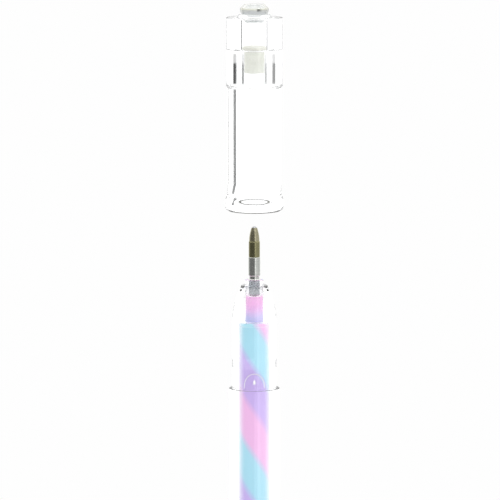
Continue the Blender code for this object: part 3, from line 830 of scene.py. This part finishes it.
def twisted_band_rule():
    """A sector of the ink column, swept up the pen's axis while it turns."""
    tree, given, made = new_rule("twisted_band", [
        ("Bottom", FLOAT, 0.03), ("Top", FLOAT, 0.12), ("Radius", FLOAT, 0.0026), ("Spread", FLOAT, 2.0),
        ("Turn at Bottom", FLOAT, 0.0), ("Turn at Top", FLOAT, 0.0), ("Layers", "NodeSocketInt", 200),
        ("Arc Points", "NodeSocketInt", 20), ("Finish", "NodeSocketMaterial", None),
    ])
    start, end = combined(tree, z=given["Bottom"]), combined(tree, z=given["Top"])
    line = add_node(tree, "GeometryNodeCurvePrimitiveLine", Start=start, End=end).outputs[0]
    line = add_node(tree, "GeometryNodeResampleCurve", Curve=line, Count=given["Layers"]).outputs[0]
    share = add_node(tree, "GeometryNodeSplineParameter").outputs["Factor"]
    line = add_node(
        tree, "GeometryNodeStoreNamedAttribute", {"data_type": "FLOAT", "domain": "POINT"},
        Geometry=line, Name="along", Value=share,
    ).outputs[0]
    turn = spread_over(tree, share, 0.0, 1.0, given["Turn at Bottom"], given["Turn at Top"])
    line = add_node(tree, "GeometryNodeSetCurveTilt", Curve=line, Tilt=turn).outputs[0]

    sector = add_node(
        tree, "GeometryNodeCurveArc", Resolution=given["Arc Points"], Radius=given["Radius"],
        Start_Angle=0.0, Sweep_Angle=given["Spread"], Connect_Center=True,
    ).outputs[0]
    place = split(tree, add_node(tree, "GeometryNodeInputPosition").outputs[0])
    angle = maths(tree, "ARCTAN2", place[1], place[0])
    sector = add_node(
        tree, "GeometryNodeStoreNamedAttribute", {"data_type": "FLOAT", "domain": "POINT"},
        Geometry=sector, Name="across", Value=maths(tree, "DIVIDE", angle, given["Spread"]),
    ).outputs[0]
    band = add_node(tree, "GeometryNodeCurveToMesh", Curve=line, Profile_Curve=sector, Fill_Caps=True)
    finished(tree, band.outputs[0], given["Finish"], made)
    return tree


def stacked_rings_rule():
    """Equal round rings, one above another on the pen's axis."""
    tree, given, made = new_rule("stacked_rings", [
        ("First Height", FLOAT, 0.13), ("Pitch", FLOAT, 0.0004), ("Count", "NodeSocketInt", 3),
        ("Ring Radius", FLOAT, 0.001), ("Wire Radius", FLOAT, 0.0001), ("Sides", "NodeSocketInt", 96),
        ("Finish", "NodeSocketMaterial", None),
    ])
    loop, wire = (
        add_node(tree, "GeometryNodeCurvePrimitiveCircle", Resolution=sides, Radius=radius).outputs[0]
        for sides, radius in ((given["Sides"], given["Ring Radius"]), (16, given["Wire Radius"]))
    )
    ring = add_node(tree, "GeometryNodeCurveToMesh", Curve=loop, Profile_Curve=wire).outputs[0]
    first = combined(tree, z=given["First Height"])
    step = combined(tree, z=maths(tree, "MULTIPLY", given["Pitch"], -1.0))
    places = add_node(tree, "GeometryNodeMeshLine", Count=given["Count"], Start_Location=first, Offset=step)
    rings = add_node(tree, "GeometryNodeInstanceOnPoints", Points=places.outputs[0], Instance=ring).outputs[0]
    finished(tree, rings, given["Finish"], made)
    return tree


def make_stem_rings():
    root = SLEEVE_STEM - GROOVE_DEPTH
    first = SLEEVE_WAIST_BOTTOM - 0.1 - GROOVE_PITCH * 0.9
    piece = made_by_rule(
        "stem_rings", stacked_rings_rule(), NICKEL, First_Height=first * MM, Pitch=GROOVE_PITCH * MM,
        Count=GROOVE_COUNT, Ring_Radius=(root - 0.03) * MM, Wire_Radius=0.1 * MM, Sides=SMALL_STEPS,
    )
    stand_for(piece, "pen_body", "nickel")


def make_ink():
    rule = twisted_band_rule()
    spread = 2 * math.pi / 3
    whole_turn = 2 * math.pi * (INK_BRIM - INK_BOTTOM) / INK_PITCH
    brim_phase = INK_PHASE - 2 * math.pi * (INK_BRIM - INK_TOP) / INK_PITCH
    bands = [("blue_band", "ink_blue", BLUE_INK), ("purple_band", "ink_purple", PURPLE_INK),
             ("pink_band", "ink_pink", PINK_INK)]
    for number, (name, node, finish) in enumerate(bands):
        at_top = brim_phase - number * spread
        piece = made_by_rule(
            name, rule, finish, Bottom=INK_BOTTOM * MM, Top=INK_BRIM * MM, Spread=spread,
            Radius=(TUBE_BORE + INK_WETTING) * MM, Turn_at_Bottom=at_top + whole_turn, Turn_at_Top=at_top,
            Layers=BAND_LAYERS, Arc_Points=BAND_ARC_POINTS,
        )
        stand_for(piece, "pen_body", node, node)
        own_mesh(piece)

    neck = NECK_INK_BORE + INK_WETTING
    corners = [(0.0, NECK_INK_TOP), (neck, NECK_INK_TOP, 0.1), (neck, INK_BRIM, 0.05), (0.0, INK_BRIM)]
    piece = turned("neck_ink", eased(corners, closed=False), closed=False, angles=even_angles(SMALL_STEPS),
                   finish=MIXED_INK)
    stand_for(piece, "pen_body", "ink_mixed", "ink_feed")

    corners = [(0.0, FOLLOWER_TOP), (FOLLOWER_RADIUS, FOLLOWER_TOP, 0.02),
               (FOLLOWER_RADIUS, FOLLOWER_BOTTOM, 0.3), (FOLLOWER_RADIUS - 0.5, FOLLOWER_BOTTOM + 0.05, 0.2),
               (0.0, FOLLOWER_BOTTOM + 0.5)]
    piece = turned("grease_follower", eased(corners, closed=False), closed=False, finish=GREASE)
    stand_for(piece, "follower", "grease", "ink_follower")


# ---------------------------------------------------------------- the cap

def cap_flare():
    """The cap's outside at its mouth: a soft flare out to the bead, then the blunt lip."""
    widest, steps = CAP_BEAD_RADIUS - SKIN, 12
    swell = widest - CAP_RADIUS
    flare = [(CAP_RADIUS, CAP_BEAD_HEIGHT + CAP_FLARE_RISE + WALL_GUARD)]
    for i in range(steps + 1):
        radius = CAP_RADIUS + swell * 0.5 * (1 - math.cos(math.pi * i / steps))
        flare.append((radius, CAP_BEAD_HEIGHT + CAP_FLARE_RISE * (1 - i / steps)))
    for i in range(1, 10):
        a = math.radians(9 * i)
        radius = CAP_LIP_RADIUS + (widest - CAP_LIP_RADIUS) * math.cos(a) ** 0.6
        flare.append((radius, CAP_BEAD_HEIGHT * (1 - math.sin(a) ** 1.3)))
    return flare + [(CAP_LIP_RADIUS, 0.0, 0.15)]


def make_cap():
    outside = [(CORE_BORE, SHOULDER_TOP, 0.06), (SHOULDER_RADIUS, SHOULDER_TOP, 0.12),
               (SHOULDER_FOOT, CAP_HEAD_TOP + 0.06, 0.12), (CAP_HEAD_RADIUS, CAP_HEAD_TOP, 0.12),
               (CAP_HEAD_RADIUS, CAP_HEAD_BOTTOM + 0.05, 0.08), (CAP_RADIUS, CAP_HEAD_BOTTOM - 0.12, 0.08)]
    outside += cap_flare()
    inside = [(CAP_LIP_BORE, 0.0, 0.1), (CAP_FLARE_BORE, CAP_BEAD_HEIGHT, 0.8),
              (CAP_BORE, CAP_TAPER_DEPTH, 1.5), (CAP_BORE, CAP_HEAD_BOTTOM - 0.3, 0.1),
              (CAP_HEAD_BORE, CAP_HEAD_BOTTOM + 0.1, 0.1), (CAP_HEAD_BORE, CAP_CEILING, 0.25),
              (BOSS_RADIUS, CAP_CEILING, 0.15), (BOSS_RADIUS, BOSS_BOTTOM, 0.35),
              (BOSS_BORE, BOSS_BOTTOM, 0.3),
              (BOSS_BORE, CAP_CEILING, 0.04), (CORE_BORE, CAP_CEILING + 0.02, 0.04)]
    piece = turned("cap_body", eased(lifted(outside + inside, CAP_MOUTH)), finish=CLEAR_CAP)
    stand_for(piece, "cap", "clear_cap", "cap_shell")

    # A thin dark ring of painted shade along the cap's mouth, standing for the shade at its edge; the cap has
    # no such part.
    rim = [(CAP_LIP_RADIUS - 0.06 + RIM_WIRE * math.cos(a), RIM_WIRE * (math.sin(a) - 0.7))
           for a in even_angles(12)]
    piece = turned("mouth_shade_ring", lifted(rim, CAP_MOUTH), finish=MOUTH_SHADE)
    stand_for(piece, "cap", "clear_cap", "cap_shell")

    corners = [(0.0, SEAL_TOP), (SEAL_FLANGE, SEAL_TOP, 0.1), (SEAL_FLANGE, CAP_CEILING + 0.08, 0.04),
               (SEAL_RADIUS, CAP_CEILING + 0.06, 0.04), (SEAL_RADIUS, SEAL_BOTTOM, 0.22),
               (SEAL_CUP, SEAL_BOTTOM, 0.12), (SEAL_CUP, SEAL_CUP_TOP, 0.35), (0.0, SEAL_CUP_TOP)]
    piece = turned("rubber_seal", eased(lifted(corners, CAP_MOUTH), closed=False), closed=False,
                   angles=even_angles(SMALL_STEPS), finish=SEAL_WHITE)
    stand_for(piece, "cap", "seal_white", "cap_seal")

    corners = [(0.0, CROWN_TOP), (CROWN_TABLE_RADIUS, CROWN_TOP - 0.08),
               (CROWN_GIRDLE_RADIUS, CROWN_GIRDLE_TOP),
               (CROWN_GIRDLE_RADIUS, CROWN_GIRDLE_BOTTOM), (CROWN_NECK_RADIUS, CROWN_NECK_TOP),
               (CROWN_STEM, CROWN_NECK_TOP), (CROWN_STEM, CROWN_STEM_BOTTOM + 0.9),
               (CROWN_STEM_TIP, CROWN_STEM_BOTTOM), (0.0, CROWN_STEM_BOTTOM)]
    piece = turned("crown_stud", [c[:2] for c in lifted(corners, CAP_MOUTH)], closed=False,
                   angles=even_angles(CROWN_SIDES), finish=CLEAR_CAP)
    soften = piece.modifiers.new("soft_edges", "BEVEL")
    soften.width, soften.segments = 0.05 * MM, 2
    soften.limit_method, soften.angle_limit = "ANGLE", math.radians(12)
    mesh = bpy.data.meshes.new_from_object(piece.evaluated_get(bpy.context.evaluated_depsgraph_get()))
    bpy.data.objects.remove(piece, do_unlink=True)
    piece = placed("crown_stud", mesh, SHADED_CROWN)
    piece.data.set_sharp_from_angle(angle=math.radians(10))
    stand_for(piece, "cap", "clear_cap", "cap_crown")


# ---------------------------------------------------------------- floor, light and camera

STAGE_LIGHT = 1.4


def with_cards(*cards):
    """Full stage light all round but for cards, each a list of (degrees, level) from its left edge on."""
    levels = [(-180, STAGE_LIGHT)]
    for card in cards:
        levels += [(card[0][0] - 1, STAGE_LIGHT), *card, (card[-1][0] + 1, STAGE_LIGHT)]
    return levels + [(180, STAGE_LIGHT)]


# Brightness of the studio all round, by degrees to the right of straight behind the pen. ROOM is what
# polished surfaces mirror at once. STAGE is what the clear plastic shows through itself, in tiers one above
# another: the number before each is how steeply a sight line runs down, as a sine, at the tier's upper edge.
ROOM = [
    (-180, 0.14), (-100, 0.14), (-75, 0.3), (-60, 0.4), (-48, 1.0), (48, 1.0), (60, 0.5), (75, 0.5),
    (100, 0.55), (150, 0.6), (155, 1.2), (163, 1.2), (168, 0.16), (180, 0.14),
]
THIN_WALL_CARD = [(-20, 0.0), (-12, 0.0)]
STAGE = [
    # behind everything under the cap's mouth
    (0.137, [(-180, 0.8), (-100, 0.9), (-95, STAGE_LIGHT), (180, STAGE_LIGHT)]),
    # behind the cap's thin wall
    (0.1011, with_cards(THIN_WALL_CARD)),
    # behind the foot of the head, and, paler, a little above it
    (0.0972, with_cards([(-75, 0.15), (-62, 0.1), (-60, 0.0), (-47, 0.0)],
                        [(47, 0.3), (69, 0.3), (70, 0.7), (76, 0.7)])),
    (0.0954, with_cards([(-75, 0.75), (-47, 0.6)], [(47, 0.8), (76, 0.8)])),
    # behind the crown's peg
    (0.088, with_cards([(-89, 0.0), (-77, 0.0)], [(78, 0.1), (89, 0.1)])),
    # high up, where the flared mouth turns the sight line to
    (-0.085, with_cards(THIN_WALL_CARD)),
    # and plain above that
    (-1.0, with_cards()),
]
TIER_BLUR = 0.0002
OVERHEAD = 1.4                # the stage's light from well above and below
CEILING = 1.6                 # the room's lamp, high over the pen
PLAIN_LIGHT = 0.991
MATT_LIGHT = 1.25             # what falls on surfaces that scatter it
MATT_LEAN = 0.12              # how much more of it comes from the right
STEEP = (0.35, 0.5)           # slopes over which the overhead light takes over from the stage
LAMP_EDGE = (0.5, 0.6)        # and the lamp from the room
FLOOR_HALF_WIDTH = 0.45       # in metres, as is how far out the table top fades away
FLOOR_FADE = (0.12, 0.40)


def light_round(tree, angle, levels):
    """Brightness at an angle round the pen, from a list of (degrees, level)."""
    scale = max(level for _, level in levels)
    stops = [((degrees + 180) / 360, (level / scale,) * 3 + (1.0,)) for degrees, level in levels]
    ramp = colour_ramp(tree, spread_over(tree, angle, -math.pi, math.pi), stops)
    return maths(tree, "MULTIPLY", ramp, scale * PLAIN_LIGHT)


def make_light():
    world = bpy.data.worlds.new("studio")
    bpy.context.scene.world = world
    world.use_nodes = True
    tree = world.node_tree
    background = tree.nodes["Background"]
    parts = split(tree, add_node(tree, "ShaderNodeTexCoord").outputs["Generated"])
    angle = maths(tree, "ARCTAN2", parts[0], parts[1])
    steep = spread_over(tree, maths(tree, "ABSOLUTE", parts[2]), *STEEP)
    stage = light_round(tree, angle, STAGE[0][1])
    for (edge, _), (_, levels) in zip(STAGE, STAGE[1:]):
        above = spread_over(tree, parts[2], -edge - TIER_BLUR, -edge + TIER_BLUR)
        stage = mixed(tree, above, stage, light_round(tree, angle, levels))
    stage = mixed(tree, steep, stage, (OVERHEAD, OVERHEAD, OVERHEAD, 1.0))
    path = add_node(tree, "ShaderNodeLightPath").outputs
    inside = maths(tree, "GREATER_THAN", path["Transmission Depth"], 0.5)
    high = spread_over(tree, parts[2], *LAMP_EDGE)
    room = mixed(tree, high, light_round(tree, angle, ROOM), (CEILING, CEILING, CEILING, 1.0))
    seen = mixed(tree, inside, room, stage)
    # Matt surfaces are lit evenly, a little more from the right; the backdrop itself is plain.
    lean = maths(tree, "ADD", maths(tree, "MULTIPLY", parts[0], MATT_LEAN), 1.0)
    even = maths(tree, "MULTIPLY", lean, MATT_LIGHT)
    seen = mixed(tree, maths(tree, "GREATER_THAN", path["Diffuse Depth"], 0.5), seen, even)
    seen = mixed(tree, path["Is Camera Ray"], seen, (PLAIN_LIGHT, PLAIN_LIGHT, PLAIN_LIGHT, 1.0))
    join(tree, seen, background.inputs["Color"])


def make_floor():
    """A pale table top that fades into the backdrop all round."""
    shape = bmesh.new()
    bmesh.ops.create_grid(shape, x_segments=12, y_segments=12, size=FLOOR_HALF_WIDTH)
    mesh = bpy.data.meshes.new("table_top")
    shape.to_mesh(mesh)
    shape.free()
    made, tree, shader = new_material("table_top")
    place = object_place(tree)
    far = add_node(tree, "ShaderNodeVectorMath", {"operation": "LENGTH"}, i0=place).outputs["Value"]
    white = mixed(tree, noise(tree, place, 120.0, 3.0), (0.75, 0.75, 0.75, 1), (0.78, 0.78, 0.78, 1))
    join(tree, white, shader.inputs["Base Color"])
    join(tree, spread_over(tree, far, *FLOOR_FADE, 1.0, 0.0, smooth=True), shader.inputs["Alpha"])
    set_inputs(shader, Roughness=0.9, Specular_IOR_Level=0.1)
    floor = placed("table_top", mesh, made)


def set_light_paths():
    """Let light pass through the nested clear walls without being cut short or blurred."""
    scene = bpy.context.scene
    scene.view_settings.view_transform = "Standard"
    scene.cycles.blur_glossy = 0.0
    scene.cycles.max_bounces = 32
    scene.cycles.diffuse_bounces = 8
    scene.cycles.glossy_bounces = 16
    scene.cycles.transmission_bounces = 32


def make_camera():
    """A long lens, a little above the cap, as far off as makes the pen's width right."""
    lens, sensor, frame_width = 400.0, 36.0, 96.15
    elevation = math.radians(7.5)
    target = Vector((-0.83, 0.0, 136.8)) * MM
    distance = frame_width * MM * lens / sensor
    data = bpy.data.cameras.new("view")
    data.lens, data.sensor_width = lens, sensor
    data.clip_start, data.clip_end = 0.1, 50.0
    camera = bpy.data.objects.new("view", data)
    back = Vector((0.0, -math.cos(elevation), math.sin(elevation)))
    camera.location = target + back * distance
    camera.rotation_euler = (-back).to_track_quat("-Z", "Y").to_euler()
    bpy.context.scene.collection.objects.link(camera)
    bpy.context.scene.camera = camera


make_barrel()
make_cap_catch()
make_rear_plug()
make_refill()
make_tip()
make_stem_rings()
make_ink()
make_cap()
make_light()
make_floor()
make_camera()
set_light_paths()
